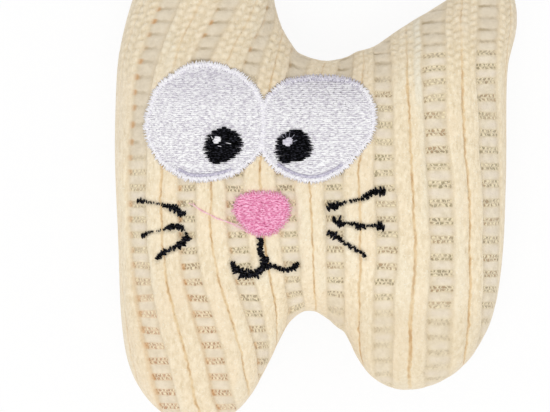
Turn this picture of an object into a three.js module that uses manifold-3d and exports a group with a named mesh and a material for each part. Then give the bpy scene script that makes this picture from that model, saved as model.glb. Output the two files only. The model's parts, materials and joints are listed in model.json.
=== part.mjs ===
// Catnip mouse: a small stuffed cat toy of cream chenille rib knit with an embroidered face.
// Two knit panels of one outline are sewn edge to edge and filled. The toy lies on its back,
// with its face toward +Z and its ears toward +Y. Lengths are in millimetres.
import * as THREE from 'three';
import { mergeVertices } from 'three/addons/utils/BufferGeometryUtils.js';
import Module from 'manifold-3d';

const wasm = await Module();
wasm.setup();

// Knit panels, seam and filling
const PANEL_WIDTH = 80.8;
const PANEL_LENGTH = 101.4; // from the tip of the left foot to the tip of the left ear
const KNIT_THICKNESS = 2.0;
const EDGE_SWELL = 8.0; // radius of the rounded edge that the filling gives each panel
const THREAD_RADIUS = 0.25;
const THREAD_INSET = 1.0; // from the outline to the middle of the sewing thread
const SEAM_CLEARANCE = 0.25; // between the sewing thread and each panel's edge
const CLEARANCE = 0.3; // between pieces that touch on the real toy
const BEND_DEGREES = 20; // how far an ear or a leg bends at its root
const FLAT_DEPTH = 0.5; // how far the back is pressed flat where the toy lies on it

// Sunk ladders between the ribs of the knit, each as [x, y] from the legs to the ears
const LADDER_WIDTH = 4.0;
const LADDER_DEPTH = 0.6;
const LADDER_FLOOR = 3.2; // width at the bottom of a ladder
const LADDER_CUT = 1.8; // how far above the surface the cut of a ladder starts
const LADDERS = [
  [[-19.5, -36.4], [-23.5, -18.2], [-25.5, 0.0], [-25.1, 18.0], [-20.9, 36.2], [-13.6, 54.4]],
  [[-7.3, -37.4], [-11.8, -20.0], [-15.2, -2.4], [-14.6, 15.0], [-11.3, 32.6], [-2.7, 50.0]],
  [[0.3, -24.6], [-3.3, -12.6], [-5.2, -0.6], [-5.1, 11.6], [-3.3, 23.6], [1.1, 35.6]],
  [[6.9, -16.4], [5.3, -2.4], [4.8, 12.4], [7.0, 28.2]],
  [[14.4, -17.8], [14.4, 0.2], [14.8, 14.2], [16.2, 27.2]],
  [[23.7, -30.0], [24.4, -12.0], [24.5, 8.2], [23.4, 30.2]],
  [[35.5, -30.4], [36.0, -8.4], [34.8, 15.2], [34.0, 37.2]],
];

// Dried catnip leaf in the middle of the filling
const CATNIP_LENGTH = 34;
const CATNIP_WIDTH = 24;
const CATNIP_DEPTH = 8;
const CATNIP_CENTRE = [10, 5];

// Embroidered face, about the middle of the nose
const FILL_STITCH_HEIGHT = 0.6;
const SATIN_HEIGHT = 0.5;
const EYES_MEET_X = 0.5;
const LEFT_EYE = { width: 23.4, height: 23.7, y: 18.3 };
const RIGHT_EYE = { width: 22.3, height: 21.9, y: 17.1 };
const LEFT_PUPIL = { width: 7.8, height: 7.1, x: -7.8, y: 13.6 };
const RIGHT_PUPIL = { width: 7.4, height: 6.4, x: 6.5, y: 13.4 };
const LEFT_GLINT = { width: 2.2, height: 1.8, x: -8.8, y: 14.7 };
const RIGHT_GLINT = { width: 2.2, height: 2.0, x: 5.2, y: 14.4 };
const NOSE_OUTLINE = [
  [5.8, 0.8], [5.5, 2.5], [3.8, 4.1], [1.2, 4.5], [-1.4, 4.4], [-3.4, 3.2], [-5.2, 2.2],
  [-5.8, 0.6], [-4.4, -1.8], [-2.0, -4.0], [0.4, -4.5], [2.6, -3.8], [4.6, -1.8],
];

// Satin strokes as [x, y, width] along each stroke
const MOUTH_STROKES = [
  [[-0.3, -4.9, 1.2], [0.2, -8.0, 1.3], [0.7, -10.3, 1.9]],
  [[0.6, -10.6, 1.8], [-1.4, -12.0, 1.7], [-3.9, -12.3, 1.9], [-5.9, -10.2, 1.2]],
  [[0.9, -10.4, 1.8], [2.6, -10.8, 1.3], [4.4, -11.4, 1.2], [6.2, -10.8, 1.4], [7.4, -9.9, 0.9]],
];
const WHISKERS = {
  whisker_left_upper: [
    [-24.8, 2.6, 1.4], [-22.2, 2.3, 0.9], [-19.8, 1.9, 0.9], [-17.2, 0.8, 1.8], [-15.4, -0.4, 0.8],
  ],
  whisker_left_middle: [
    [-24.0, -4.1, 1.3], [-22.0, -3.7, 0.7], [-19.4, -3.2, 0.9], [-17.2, -2.6, 1.5], [-15.6, -2.9, 1.2],
  ],
  whisker_left_lower: [
    [-14.9, -5.0, 1.5], [-16.4, -6.6, 1.2], [-18.8, -7.3, 1.0], [-20.9, -8.8, 1.2],
  ],
  whisker_right_upper: [
    [13.4, 1.4, 1.6], [16.6, 2.2, 1.2], [20.0, 3.1, 1.2], [22.4, 4.0, 1.4], [24.4, 4.7, 1.3],
  ],
  whisker_right_middle: [
    [14.5, -1.8, 1.7], [17.0, -2.1, 1.3], [19.6, -2.4, 1.1], [22.2, -2.3, 1.1], [24.2, -2.8, 1.4],
  ],
  whisker_right_lower: [
    [14.0, -4.0, 1.5], [15.8, -5.4, 1.2], [18.4, -6.7, 1.0], [20.4, -8.2, 0.9],
  ],
};
const LOOSE_THREAD = [[-6.4, -1.7, 0.4], [-9.4, -0.6, 0.4], [-12.4, 0.6, 0.4], [-14.8, 2.4, 0.4]];

// Shape of the outline, anticlockwise from the left hip. Each run starts where the one before it ends.
const OUTLINE_RUNS = {
  left_leg: [
    [-28.3, -20.8], [-26.9, -30.0], [-23.2, -37.0], [-13.4, -43.4], [-4.8, -39.4], [0.2, -32.2],
    [3.8, -24.4],
  ],
  crotch: [[5.7, -20.8], [9.4, -18.9]],
  right_leg: [
    [13.4, -20.8], [16.2, -23.0], [19.0, -28.6], [22.6, -33.2], [27.8, -35.2], [35.6, -33.8],
    [41.8, -29.0],
  ],
  right_side: [[46.2, -20.8], [48.2, -9.6], [49.0, 6.8]],
  right_ear: [
    [49.4, 30.3], [51.2, 37.6], [50.0, 44.6], [45.0, 47.4], [37.4, 42.8], [27.6, 36.9], [21.8, 32.9],
  ],
  notch: [[16.8, 30.3], [11.6, 30.8]],
  left_ear: [
    [7.5, 31.3], [5.0, 34.8], [2.8, 39.8], [1.8, 46.8], [-2.4, 54.8],
    [-11.0, 58.0], [-19.6, 54.4], [-24.6, 46.8], [-27.4, 38.4],
  ],
  left_side: [[-28.9, 31.3], [-29.5, 20.8], [-29.6, 9.8], [-28.9, -5.2]],
};
const LOBES = ['left_ear', 'right_ear', 'left_leg', 'right_leg'];

// Fineness of the facets
const CURVE_STEPS = 6; // between two outline points
const LOBE_COLUMNS = 10;
const LOBE_ROWS = 7;
const NOTCH_COLUMNS = 3;
const BODY_ROWS = 12;
const LADDER_STEP = 8;
const THREAD_STEP = 4;
const THREAD_FACETS = 3; // in half of the thread's round
const EYE_FACETS = { round: 28, rings: 5 };
const PUPIL_FACETS = { round: 16, rings: 2 };
const GLINT_FACETS = { round: 10, rings: 1 };
const NOSE_RINGS = 3;
const STROKE_STEPS = 3; // between two points of a satin stroke
const CATNIP_FACETS = { round: 18, rings: 10 };

// Colours and finish
const CREAM = { color: '#f0e0c2', roughness: 0.95, metalness: 0 };
const FIBRE = { color: '#f4f3ef', roughness: 1, metalness: 0 };
const LEAF = { color: '#7d8458', roughness: 1, metalness: 0 };
const SEWING = { color: '#e6d6b4', roughness: 0.8, metalness: 0 };
const WHITE = { color: '#e1dfe6', roughness: 0.6, metalness: 0 };
const PINK = { color: '#ee9abd', roughness: 0.55, metalness: 0 };
const BLACK = { color: '#131217', roughness: 0.5, metalness: 0 };

const RIM_HEIGHT = THREAD_RADIUS + SEAM_CLEARANCE;
const runNames = Object.keys(OUTLINE_RUNS);
const outlinePoints = runNames.flatMap((name) => OUTLINE_RUNS[name]);
const drawnCurve = new THREE.CatmullRomCurve3(
  outlinePoints.map(([x, y]) => new THREE.Vector3(x, y, 0)), true, 'centripetal');
const drawnRing = Array.from(
  { length: outlinePoints.length * CURVE_STEPS },
  (_, i) => drawnCurve.getPoint(i / (outlinePoints.length * CURVE_STEPS)));
const drawnSize = new THREE.Box3().setFromPoints(drawnRing).getSize(new THREE.Vector3());
const toSize = new THREE.Vector3(PANEL_WIDTH / drawnSize.x, PANEL_LENGTH / drawnSize.y, 1);
const outlineRing = drawnRing.map((point) => point.clone().multiply(toSize));

// One run of the outline, measured by its length: at(distance) gives the point and the way inward,
// and tip is the distance to the point that lies farthest from the run's start along Y.
function outlineRun(name) {
  const before = runNames.slice(0, runNames.indexOf(name));
  const start = before.reduce((count, other) => count + OUTLINE_RUNS[other].length, 0) * CURVE_STEPS;
  const steps = OUTLINE_RUNS[name].length * CURVE_STEPS;
  const points = Array.from({ length: steps + 1 }, (_, i) => outlineRing[(start + i) % outlineRing.length]);
  const distances = [0];
  for (let i = 1; i <= steps; i += 1) {
    distances.push(distances[i - 1] + points[i].distanceTo(points[i - 1]));
  }
  const length = distances[steps];
  const reach = points.map((point) => Math.abs(point.y - points[0].y));
  const tip = distances[reach.indexOf(Math.max(...reach))];
  function at(distance) {
    let i = 1;
    while (i < steps && distances[i] < distance) i += 1;
    const share = (distance - distances[i - 1]) / (distances[i] - distances[i - 1]);
    const along = points[i].clone().sub(points[i - 1]).normalize();
    const point = points[i - 1].clone().lerp(points[i], share);
    return { x: point.x, y: point.y, inward: [-along.y, along.x] };
  }
  return { length, tip, at };
}

const runs = Object.fromEntries(runNames.map((name) => [name, outlineRun(name)]));

// Smooth depth of a point inside the outline: its distance near the edge, less steep inside.
// It is pi over the integral of 1 / r^2 along the outline, summed over the straight steps.
function depthInside(x, y) {
  let sum = 0;
  for (let i = 0; i < outlineRing.length; i += 1) {
    const a = outlineRing[i];
    const b = outlineRing[(i + 1) % outlineRing.length];
    const step = Math.hypot(b.x - a.x, b.y - a.y);
    const ux = (b.x - a.x) / step;
    const uy = (b.y - a.y) / step;
    const near = (a.x - x) * ux + (a.y - y) * uy;
    const far = near + step;
    const away = Math.abs((a.x - x) * uy - (a.y - y) * ux);
    sum += away > 1e-6
      ? (Math.atan(far / away) - Math.atan(near / away)) / away
      : Math.abs(1 / near - 1 / far);
  }
  return Math.PI / sum;
}

// Height of the stuffed panel above the seam, and its outward direction there.
function swell(point) {
  if (point.onEdge) {
    return { height: 0, normal: new THREE.Vector3(-point.inward[0], -point.inward[1], 0) };
  }
  const depth = depthInside(point.x, point.y);
  const reach = Math.min(0.01, depth / 4);
  const slope = (stepX, stepY) => (depthInside(point.x + stepX, point.y + stepY)
    - depthInside(point.x - stepX, point.y - stepY)) / (2 * reach);
  const slopeX = slope(reach, 0);
  const slopeY = point.onRoot ? 0 : slope(0, reach);
  const height = Math.sqrt(2 * EDGE_SWELL * depth);
  const normal = new THREE.Vector3(-EDGE_SWELL * slopeX, -EDGE_SWELL * slopeY, height);
  return { height, normal: normal.normalize() };
}

// The point of the stuffed front at a plan point, moved outward by a distance.
function onFront(point, outward) {
  const { height, normal } = swell(point);
  return new THREE.Vector3(point.x, point.y, RIM_HEIGHT + height).addScaledVector(normal, outward);
}

const eased = (i, count) => (1 - Math.cos((Math.PI * i) / count)) / 2;
const rowAcross = (from, to, flags) => Array.from({ length: LOBE_COLUMNS + 1 }, (_, i) => {
  const share = eased(i, LOBE_COLUMNS);
  const x = THREE.MathUtils.lerp(from.x, to.x, share);
  const y = THREE.MathUtils.lerp(from.y, to.y, share);
  if (i === 0) return { ...from, ...flags, onEdge: true };
  if (i === LOBE_COLUMNS) return { ...to, ...flags, onEdge: true };
  return { x, y, ...flags };
});

// Row along the line where an ear or a leg leaves the body, from its left end to its right end.
function rootRow(from, to) {
  const left = { ...from, inward: [1, 0] };
  const right = { ...to, inward: [-1, 0] };
  return rowAcross(left, right, { onRoot: true });
}

// Plan grid of an ear or a leg: rows from its root to its tip, each from left to right.
function lobePlan(name) {
  const run = runs[name];
  const isEar = name.endsWith('ear');
  const rows = [];
  for (let j = 0; j <= LOBE_ROWS; j += 1) {
    const first = run.at(THREE.MathUtils.lerp(CLEARANCE, run.tip, j / LOBE_ROWS));
    const last = run.at(THREE.MathUtils.lerp(run.length - CLEARANCE, run.tip, j / LOBE_ROWS));
    const [from, to] = isEar ? [last, first] : [first, last];
    rows.push(j === 0 ? rootRow(from, to) : rowAcross(from, to, {}));
  }
  const tip = { ...run.at(run.tip), onEdge: true };
  rows[LOBE_ROWS] = rows[LOBE_ROWS].map(() => tip);
  return rows;
}

// Points along a short run between two lobes, without its ends, which belong to the root rows.
function notchRow(name, leftToRight) {
  const run = runs[name];
  return Array.from({ length: NOTCH_COLUMNS - 1 }, (_, i) => {
    const share = (i + 1) / NOTCH_COLUMNS;
    return { ...run.at(run.length * (leftToRight ? share : 1 - share)), onEdge: true };
  });
}

// Plan grid of the body: rows from the legs up to the ears, each from left to right.
function bodyPlan() {
  const end = (name) => runs[name].at(runs[name].length);
  const start = (name) => runs[name].at(0);
  const bottom = [
    ...rootRow(start('left_leg'), end('left_leg')), ...notchRow('crotch', true),
    ...rootRow(start('right_leg'), end('right_leg'))];
  const top = [
    ...rootRow(end('left_ear'), start('left_ear')), ...notchRow('notch', false),
    ...rootRow(end('right_ear'), start('right_ear'))];
  const last = bottom.length - 1;
  const shareAlong = (row, i) => (row[i].x - row[0].x) / (row[last].x - row[0].x);
  const rows = [bottom];
  for (let j = 1; j < BODY_ROWS; j += 1) {
    const v = eased(j, BODY_ROWS);
    const left = runs.left_side.at(runs.left_side.length * (1 - v));
    const right = runs.right_side.at(runs.right_side.length * v);
    rows.push(bottom.map((low, i) => {
      if (i === 0) return { ...left, onEdge: true };
      if (i === last) return { ...right, onEdge: true };
      const u = THREE.MathUtils.lerp(shareAlong(bottom, i), shareAlong(top, i), v);
      const between = (key) => (1 - v) * low[key] + v * top[i][key] + (1 - u) * left[key] + u * right[key]
        - (1 - v) * ((1 - u) * bottom[0][key] + u * bottom[last][key])
        - v * ((1 - u) * top[0][key] + u * top[last][key]);
      return { x: between('x'), y: between('y') };
    }));
  }
  rows.push(top);
  return rows;
}

const plans = { body: bodyPlan() };
for (const name of LOBES) plans[name] = lobePlan(name);

// Closed geometry from triangles given by their corners, with its faces turned outward.
function closedGeometry(corners) {
  const positions = [];
  for (const [a, b, c] of corners) {
    const flat = a.distanceTo(b) < 1e-4 || b.distanceTo(c) < 1e-4 || c.distanceTo(a) < 1e-4;
    if (!flat) positions.push(...a.toArray(), ...b.toArray(), ...c.toArray());
  }
  const volume = corners.reduce((sum, [a, b, c]) => sum + a.dot(b.clone().cross(c)), 0);
  if (volume < 0) {
    for (let i = 0; i < positions.length; i += 9) {
      const second = positions.slice(i + 3, i + 6);
      positions.splice(i + 3, 6, ...positions.slice(i + 6, i + 9), ...second);
    }
  }
  const geometry = new THREE.BufferGeometry();
  geometry.setAttribute('position', new THREE.Float32BufferAttribute(positions, 3));
  return mergeVertices(geometry, 1e-4);
}

// Border of a grid of points as [row, column] places, once round.
function gridBorder(grid) {
  const lastRow = grid.length - 1;
  const lastColumn = grid[0].length - 1;
  const border = [];
  for (let i = 0; i < lastColumn; i += 1) border.push([0, i]);
  for (let j = 0; j < lastRow; j += 1) border.push([j, lastColumn]);
  for (let i = lastColumn; i > 0; i -= 1) border.push([lastRow, i]);
  for (let j = lastRow; j > 0; j -= 1) border.push([j, 0]);
  return border;
}

// Outermost ring of a grid whose rows are rings round its first row.
const outerRing = (grid) => grid[0].slice(1).map((_, i) => [grid.length - 1, grid[0].length - 1 - i]);

// Solid between two grids of points with the same rows and columns, closed round their border.
function solidBetween(upper, lower, border = gridBorder(upper)) {
  const corners = [];
  for (let j = 0; j < upper.length - 1; j += 1) {
    for (let i = 0; i < upper[0].length - 1; i += 1) {
      corners.push([upper[j][i], upper[j][i + 1], upper[j + 1][i + 1]]);
      corners.push([upper[j][i], upper[j + 1][i + 1], upper[j + 1][i]]);
      corners.push([lower[j][i], lower[j + 1][i + 1], lower[j][i + 1]]);
      corners.push([lower[j][i], lower[j + 1][i], lower[j + 1][i + 1]]);
    }
  }
  border.forEach(([j, i], k) => {
    const [nextJ, nextI] = border[(k + 1) % border.length];
    corners.push([upper[j][i], lower[j][i], lower[nextJ][nextI]]);
    corners.push([upper[j][i], lower[nextJ][nextI], upper[nextJ][nextI]]);
  });
  return closedGeometry(corners);
}

const mapGrid = (grid, change) => grid.map((row) => row.map((point) => change(point)));
const turnedOver = (point) => new THREE.Vector3(point.x, point.y, -point.z);

// Plan grid of a band along a line: rows of its left side, middle and right side.
function bandPlan(line, steps, halfAt) {
  return Array.from({ length: steps + 1 }, (_, j) => {
    const middle = line.getPoint(j / steps);
    const along = line.getTangent(j / steps);
    const across = new THREE.Vector2(-along.y, along.x);
    return [-1, 0, 1].map((side) => middle.clone().addScaledVector(across, side * halfAt(j / steps)));
  });
}

// Channel that a ladder takes out of the front, running out at both ends.
function ladderChannel(path) {
  const line = new THREE.SplineCurve(path.map(([x, y]) => new THREE.Vector2(x * toSize.x, y * toSize.y)));
  const steps = Math.round(line.getLength() / LADDER_STEP);
  const widening = (LADDER_WIDTH - LADDER_FLOOR) / LADDER_DEPTH;
  const mouth = bandPlan(line, steps, () => (LADDER_WIDTH + LADDER_CUT * widening) / 2);
  const floor = bandPlan(line, steps, () => LADDER_FLOOR / 2);
  const above = mapGrid(mouth, (point) => onFront(point, LADDER_CUT));
  const below = floor.map((row, j) => {
    const outward = j % steps === 0 ? LADDER_DEPTH / 2 : -LADDER_DEPTH;
    return row.map((point) => onFront(point, outward));
  });
  return toSolid(solidBetween(above, below));
}

const ladders = LADDERS.map(ladderChannel).reduce((all, channel) => all.add(channel));

// Front and back knit shells of one part of the panels.
function knitShell(plan, isBack) {
  const outer = mapGrid(plan, (point) => onFront(point, 0));
  const inner = mapGrid(plan, (point) => onFront(point, -KNIT_THICKNESS));
  const shell = toSolid(solidBetween(outer, inner)).subtract(ladders);
  return fromSolid(isBack ? shell.mirror([0, 0, 1]) : shell);
}

// Filling of an ear or a leg. Its root is cut back to a wedge, so that it clears the body's in a bend.
function lobeFilling(plan) {
  const front = mapGrid(plan, (point) => {
    const top = onFront(point, -KNIT_THICKNESS - CLEARANCE);
    if (point.onEdge) top.z = 0;
    return top;
  });
  const filling = solidBetween(front, mapGrid(front, turnedOver));
  const [left, right] = [front[0][0], front[0][LOBE_COLUMNS]];
  const width = right.x - left.x;
  const outward = Math.sign(front[LOBE_ROWS][0].y - left.y);
  const setBack = outward * width * Math.tan(THREE.MathUtils.degToRad(BEND_DEGREES));
  const cut = new THREE.Shape([
    new THREE.Vector2(0, 0), new THREE.Vector2(setBack, width), new THREE.Vector2(-setBack, width),
    new THREE.Vector2(-setBack, -width), new THREE.Vector2(setBack, -width),
  ]);
  const cutter = new THREE.ExtrudeGeometry(cut, { depth: 3 * width, bevelEnabled: false });
  cutter.applyMatrix4(new THREE.Matrix4().makeBasis(
    new THREE.Vector3(0, 1, 0), new THREE.Vector3(0, 0, 1), new THREE.Vector3(1, 0, 0)));
  cutter.translate(left.x - width, left.y, 0);
  return fromSolid(toSolid(filling).subtract(toSolid(cutter)));
}

// Half of the body's filling, flat where the two halves meet round the catnip.
function bodyFilling(isBack) {
  const top = mapGrid(plans.body, (point) => onFront(point, -KNIT_THICKNESS - CLEARANCE));
  const base = mapGrid(top, (point) => new THREE.Vector3(point.x, point.y, CLEARANCE / 2));
  if (!isBack) return solidBetween(top, base);
  return solidBetween(mapGrid(top, turnedOver), mapGrid(base, turnedOver));
}

// Point of the sewing thread, inside the outline at a distance along one of its runs.
function threadPoint(run, distance) {
  const spot = run.at(distance);
  const x = spot.x + spot.inward[0] * THREAD_INSET;
  return new THREE.Vector3(x, spot.y + spot.inward[1] * THREAD_INSET, 0);
}

// How far from one end of a run its thread starts, clear of the line where a lobe leaves the body.
function threadStart(name, fromEnd) {
  const run = runs[name];
  const side = name.endsWith('ear') ? 1 : -1;
  const rootY = run.at(fromEnd ? run.length : 0).y;
  const room = (distance) => (threadPoint(run, fromEnd ? run.length - distance : distance).y - rootY) * side;
  let distance = THREAD_INSET;
  while (LOBES.includes(name) && room(distance) < THREAD_RADIUS + CLEARANCE) distance += THREAD_RADIUS;
  return distance;
}

// Sewing thread inside one run of the outline.
function seamThread(name) {
  const run = runs[name];
  const steps = Math.max(4, Math.round(run.length / THREAD_STEP));
  const first = threadStart(name, false);
  const last = run.length - threadStart(name, true);
  const path = Array.from(
    { length: steps + 1 }, (_, i) => threadPoint(run, THREE.MathUtils.lerp(first, last, i / steps)));
  const section = new THREE.Shape();
  section.absarc(0, 0, THREAD_RADIUS, 0, 2 * Math.PI);
  const extrudePath = new THREE.CatmullRomCurve3(path, false, 'centripetal');
  return new THREE.ExtrudeGeometry(section, {
    steps, curveSegments: THREAD_FACETS, bevelEnabled: false, extrudePath,
  });
}

// Stitched field on the front: a closed outline, filled by rings round its middle.
function stitchedField(outline, rings, base, height) {
  const sum = outline.reduce((total, point) => total.add(point), new THREE.Vector2());
  const centre = sum.divideScalar(outline.length);
  const loop = [...outline, outline[0]];
  const ring = (share) => loop.map((point) => centre.clone().lerp(point, share));
  const plan = Array.from({ length: rings + 1 }, (_, j) => ring(j / rings));
  const layer = (outward) => mapGrid(plan, (point) => onFront(point, outward));
  return solidBetween(layer(base + height), layer(base), outerRing(plan));
}

function ellipse({ x, y, width, height }, count) {
  return new THREE.EllipseCurve(x, y, width / 2, height / 2).getPoints(count).slice(0, count);
}

// Satin stroke on the front: a low band along a path of [x, y, width].
function satinStroke(path, base, height) {
  const steps = STROKE_STEPS * (path.length - 1);
  const line = new THREE.SplineCurve(path.map(([x, y]) => new THREE.Vector2(x, y)));
  const breadth = new THREE.SplineCurve(path.map(([, , width], i) => new THREE.Vector2(i, width)));
  const plan = bandPlan(line, steps, (share) => breadth.getPoint(share).y / 2);
  const layer = (outward) => mapGrid(plan, (point) => onFront(point, outward));
  return solidBetween(layer(base + height), layer(base));
}

// Solids for joining and cutting
function toSolid(geometry) {
  const bare = geometry.clone();
  bare.deleteAttribute('normal');
  bare.deleteAttribute('uv');
  const merged = mergeVertices(bare, 1e-4);
  const triVerts = Uint32Array.from(merged.index.array);
  const vertProperties = Float32Array.from(merged.attributes.position.array);
  return new wasm.Manifold(new wasm.Mesh({ numProp: 3, vertProperties, triVerts }));
}

function fromSolid(solid) {
  const mesh = solid.getMesh();
  const geometry = new THREE.BufferGeometry();
  geometry.setAttribute('position', new THREE.Float32BufferAttribute(mesh.vertProperties, 3));
  geometry.setIndex(Array.from(mesh.triVerts));
  return geometry;
}

function catnipLump(room) {
  const lump = new THREE.SphereGeometry(0.5, CATNIP_FACETS.round, CATNIP_FACETS.rings);
  lump.rotateX(Math.PI / 2);
  lump.scale(CATNIP_LENGTH + 2 * room, CATNIP_WIDTH + 2 * room, CATNIP_DEPTH + 2 * room);
  return lump.translate(CATNIP_CENTRE[0], CATNIP_CENTRE[1], 0);
}

const withCatnipRoom = (geometry) => {
  const room = toSolid(catnipLump(CLEARANCE));
  return fromSolid(toSolid(geometry).subtract(room));
};

// Back of the body, pressed flat where the toy lies.
function flattenedBack(geometry, flatZ) {
  const span = new THREE.Box3().setFromBufferAttribute(geometry.attributes.position);
  const size = span.getSize(new THREE.Vector3());
  const below = new THREE.BoxGeometry(2 * size.x, 2 * size.y, size.z);
  below.translate((span.min.x + span.max.x) / 2, (span.min.y + span.max.y) / 2, flatZ - size.z / 2);
  return fromSolid(toSolid(geometry).subtract(toSolid(below)));
}

// Assembly, about the middle of the nose
const toy = new THREE.Group();
function addPiece(name, geometry, finish) {
  const mesh = new THREE.Mesh(geometry, new THREE.MeshStandardMaterial(finish));
  mesh.name = name;
  toy.add(mesh);
}

const backBody = knitShell(plans.body, true);
backBody.computeBoundingBox();
const flatZ = backBody.boundingBox.min.z + FLAT_DEPTH;
addPiece('front_knit_body', knitShell(plans.body, false), CREAM);
addPiece('back_knit_body', flattenedBack(backBody, flatZ), CREAM);
addPiece('body_filling_front', withCatnipRoom(bodyFilling(false)), FIBRE);
addPiece('body_filling_back', withCatnipRoom(bodyFilling(true)), FIBRE);
addPiece('catnip', catnipLump(0), LEAF);
for (const name of LOBES) {
  addPiece(`front_knit_${name}`, knitShell(plans[name], false), CREAM);
  addPiece(`back_knit_${name}`, knitShell(plans[name], true), CREAM);
  addPiece(`${name}_filling`, lobeFilling(plans[name]), FIBRE);
}
for (const name of runNames) addPiece(`seam_${name}`, seamThread(name), SEWING);

const eyeBase = CLEARANCE;
const pupilBase = eyeBase + FILL_STITCH_HEIGHT + CLEARANCE;
const glintBase = pupilBase + SATIN_HEIGHT + CLEARANCE;
const eyeAt = (eye, side) => ({ ...eye, x: EYES_MEET_X + side * (CLEARANCE + eye.width) / 2 });
const addRound = (name, size, facets, base, height, finish) => {
  addPiece(name, stitchedField(ellipse(size, facets.round), facets.rings, base, height), finish);
};
addRound('eye_left', eyeAt(LEFT_EYE, -1), EYE_FACETS, eyeBase, FILL_STITCH_HEIGHT, WHITE);
addRound('eye_right', eyeAt(RIGHT_EYE, 1), EYE_FACETS, eyeBase, FILL_STITCH_HEIGHT, WHITE);
addRound('pupil_left', LEFT_PUPIL, PUPIL_FACETS, pupilBase, SATIN_HEIGHT, BLACK);
addRound('pupil_right', RIGHT_PUPIL, PUPIL_FACETS, pupilBase, SATIN_HEIGHT, BLACK);
addRound('glint_left', LEFT_GLINT, GLINT_FACETS, glintBase, SATIN_HEIGHT, WHITE);
addRound('glint_right', RIGHT_GLINT, GLINT_FACETS, glintBase, SATIN_HEIGHT, WHITE);
const noseOutline = NOSE_OUTLINE.map(([x, y]) => new THREE.Vector2(x, y));
addPiece('nose', stitchedField(noseOutline, NOSE_RINGS, eyeBase, FILL_STITCH_HEIGHT), PINK);
const mouth = MOUTH_STROKES.map((path) => toSolid(satinStroke(path, eyeBase, SATIN_HEIGHT)));
addPiece('mouth', fromSolid(mouth.reduce((whole, stroke) => whole.add(stroke))), BLACK);
for (const [name, path] of Object.entries(WHISKERS)) {
  addPiece(name, satinStroke(path, eyeBase, SATIN_HEIGHT), BLACK);
}
addPiece('loose_thread', satinStroke(LOOSE_THREAD, eyeBase, 2 * THREAD_RADIUS), PINK);

// The origin is under the middle of the outline, on the surface that the toy lies on.
const outlineBox = new THREE.Box3().setFromPoints(outlineRing);
const middle = outlineBox.getCenter(new THREE.Vector3());
toy.position.set(-middle.x, -middle.y, -flatZ);
const catnipMouse = new THREE.Group();
catnipMouse.add(toy);

export default catnipMouse;
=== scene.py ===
"""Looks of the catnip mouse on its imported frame: knit skin, sewn face, inner pieces, floor and light."""
import json

import bmesh
import bpy
import numpy as np
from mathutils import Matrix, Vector
from mathutils.bvhtree import BVHTree


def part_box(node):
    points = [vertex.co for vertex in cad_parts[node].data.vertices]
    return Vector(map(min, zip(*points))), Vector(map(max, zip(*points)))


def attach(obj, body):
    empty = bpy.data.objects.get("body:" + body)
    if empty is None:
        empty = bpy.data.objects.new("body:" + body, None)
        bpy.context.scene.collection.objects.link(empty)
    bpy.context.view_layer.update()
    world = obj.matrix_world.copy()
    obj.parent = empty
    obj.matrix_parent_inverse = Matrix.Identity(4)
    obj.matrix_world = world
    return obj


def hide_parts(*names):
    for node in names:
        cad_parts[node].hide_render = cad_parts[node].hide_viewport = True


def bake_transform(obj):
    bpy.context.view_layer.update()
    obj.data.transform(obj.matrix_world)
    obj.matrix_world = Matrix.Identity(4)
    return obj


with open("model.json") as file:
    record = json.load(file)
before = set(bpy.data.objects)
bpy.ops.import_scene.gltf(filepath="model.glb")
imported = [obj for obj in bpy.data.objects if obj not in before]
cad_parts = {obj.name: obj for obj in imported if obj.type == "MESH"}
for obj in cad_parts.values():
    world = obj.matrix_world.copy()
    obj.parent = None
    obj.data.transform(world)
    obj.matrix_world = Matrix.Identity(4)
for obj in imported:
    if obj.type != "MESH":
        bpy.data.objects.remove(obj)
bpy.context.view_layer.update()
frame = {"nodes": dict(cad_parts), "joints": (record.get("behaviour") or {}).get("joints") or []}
scene = bpy.context.scene
scene.view_settings.view_transform = "Standard"

# Camera
# The photograph looks straight down on the toy from far away. One pixel of its 550 by 412 is 0.2 mm
# on the toy, and the middle of the nose is at pixel (262, 214).
PIXEL = 0.0002
PHOTO_COLUMNS = 550
PHOTO_MIDDLE = (275, 206)
NOSE_PIXEL = (262, 214)
CAMERA_DISTANCE = 2.0
FACE_HEIGHT = 0.024
SENSOR_WIDTH = 36
nose_low, nose_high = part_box("nose")
nose_middle = (nose_low + nose_high) / 2


def at_pixels(pixels):
    """Places in the frame, as x and y, of pixels of the photograph."""
    pixels = np.asarray(pixels, float)
    column, row = pixels[..., 0], pixels[..., 1]
    across = nose_middle.x + (column - NOSE_PIXEL[0]) * PIXEL
    along = nose_middle.y + (NOSE_PIXEL[1] - row) * PIXEL
    return np.stack([across, along], -1)


camera = bpy.data.objects.new("camera", bpy.data.cameras.new("camera"))
scene.collection.objects.link(camera)
camera.location = (*at_pixels(PHOTO_MIDDLE), FACE_HEIGHT + CAMERA_DISTANCE)
camera.data.sensor_width = SENSOR_WIDTH
camera.data.lens = SENSOR_WIDTH * CAMERA_DISTANCE / (PHOTO_COLUMNS * PIXEL)
scene.camera = camera

# Stuffed shape
# The real skin is two knit panels, sewn edge to edge, turned and stuffed. Its plain shape, without ribs,
# is taken from the smooth inner faces of the frame's panels, closed along the seam, rounded, and moved
# out by the thickness of the knit.
KNIT_THICKNESS = 0.002
SEAM_BAND = 0.0006
SIDEWAYS = -0.02
WELD_DISTANCE = 0.00045
SMOOTHING_LOSS = 0.0003
VOXEL = 0.0003
seam_low, seam_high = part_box("seam_left_side")
seam_height = (seam_low.z + seam_high.z) / 2


def select_only(*pieces):
    bpy.ops.object.select_all(action="DESELECT")
    for piece in pieces:
        piece.select_set(True)
    bpy.context.view_layer.objects.active = pieces[0]


def apply_modifier(piece, kind, **settings):
    select_only(piece)
    modifier = piece.modifiers.new(kind, kind)
    for key, value in settings.items():
        setattr(modifier, key, value)
    bpy.ops.object.modifier_apply(modifier=modifier.name)


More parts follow.
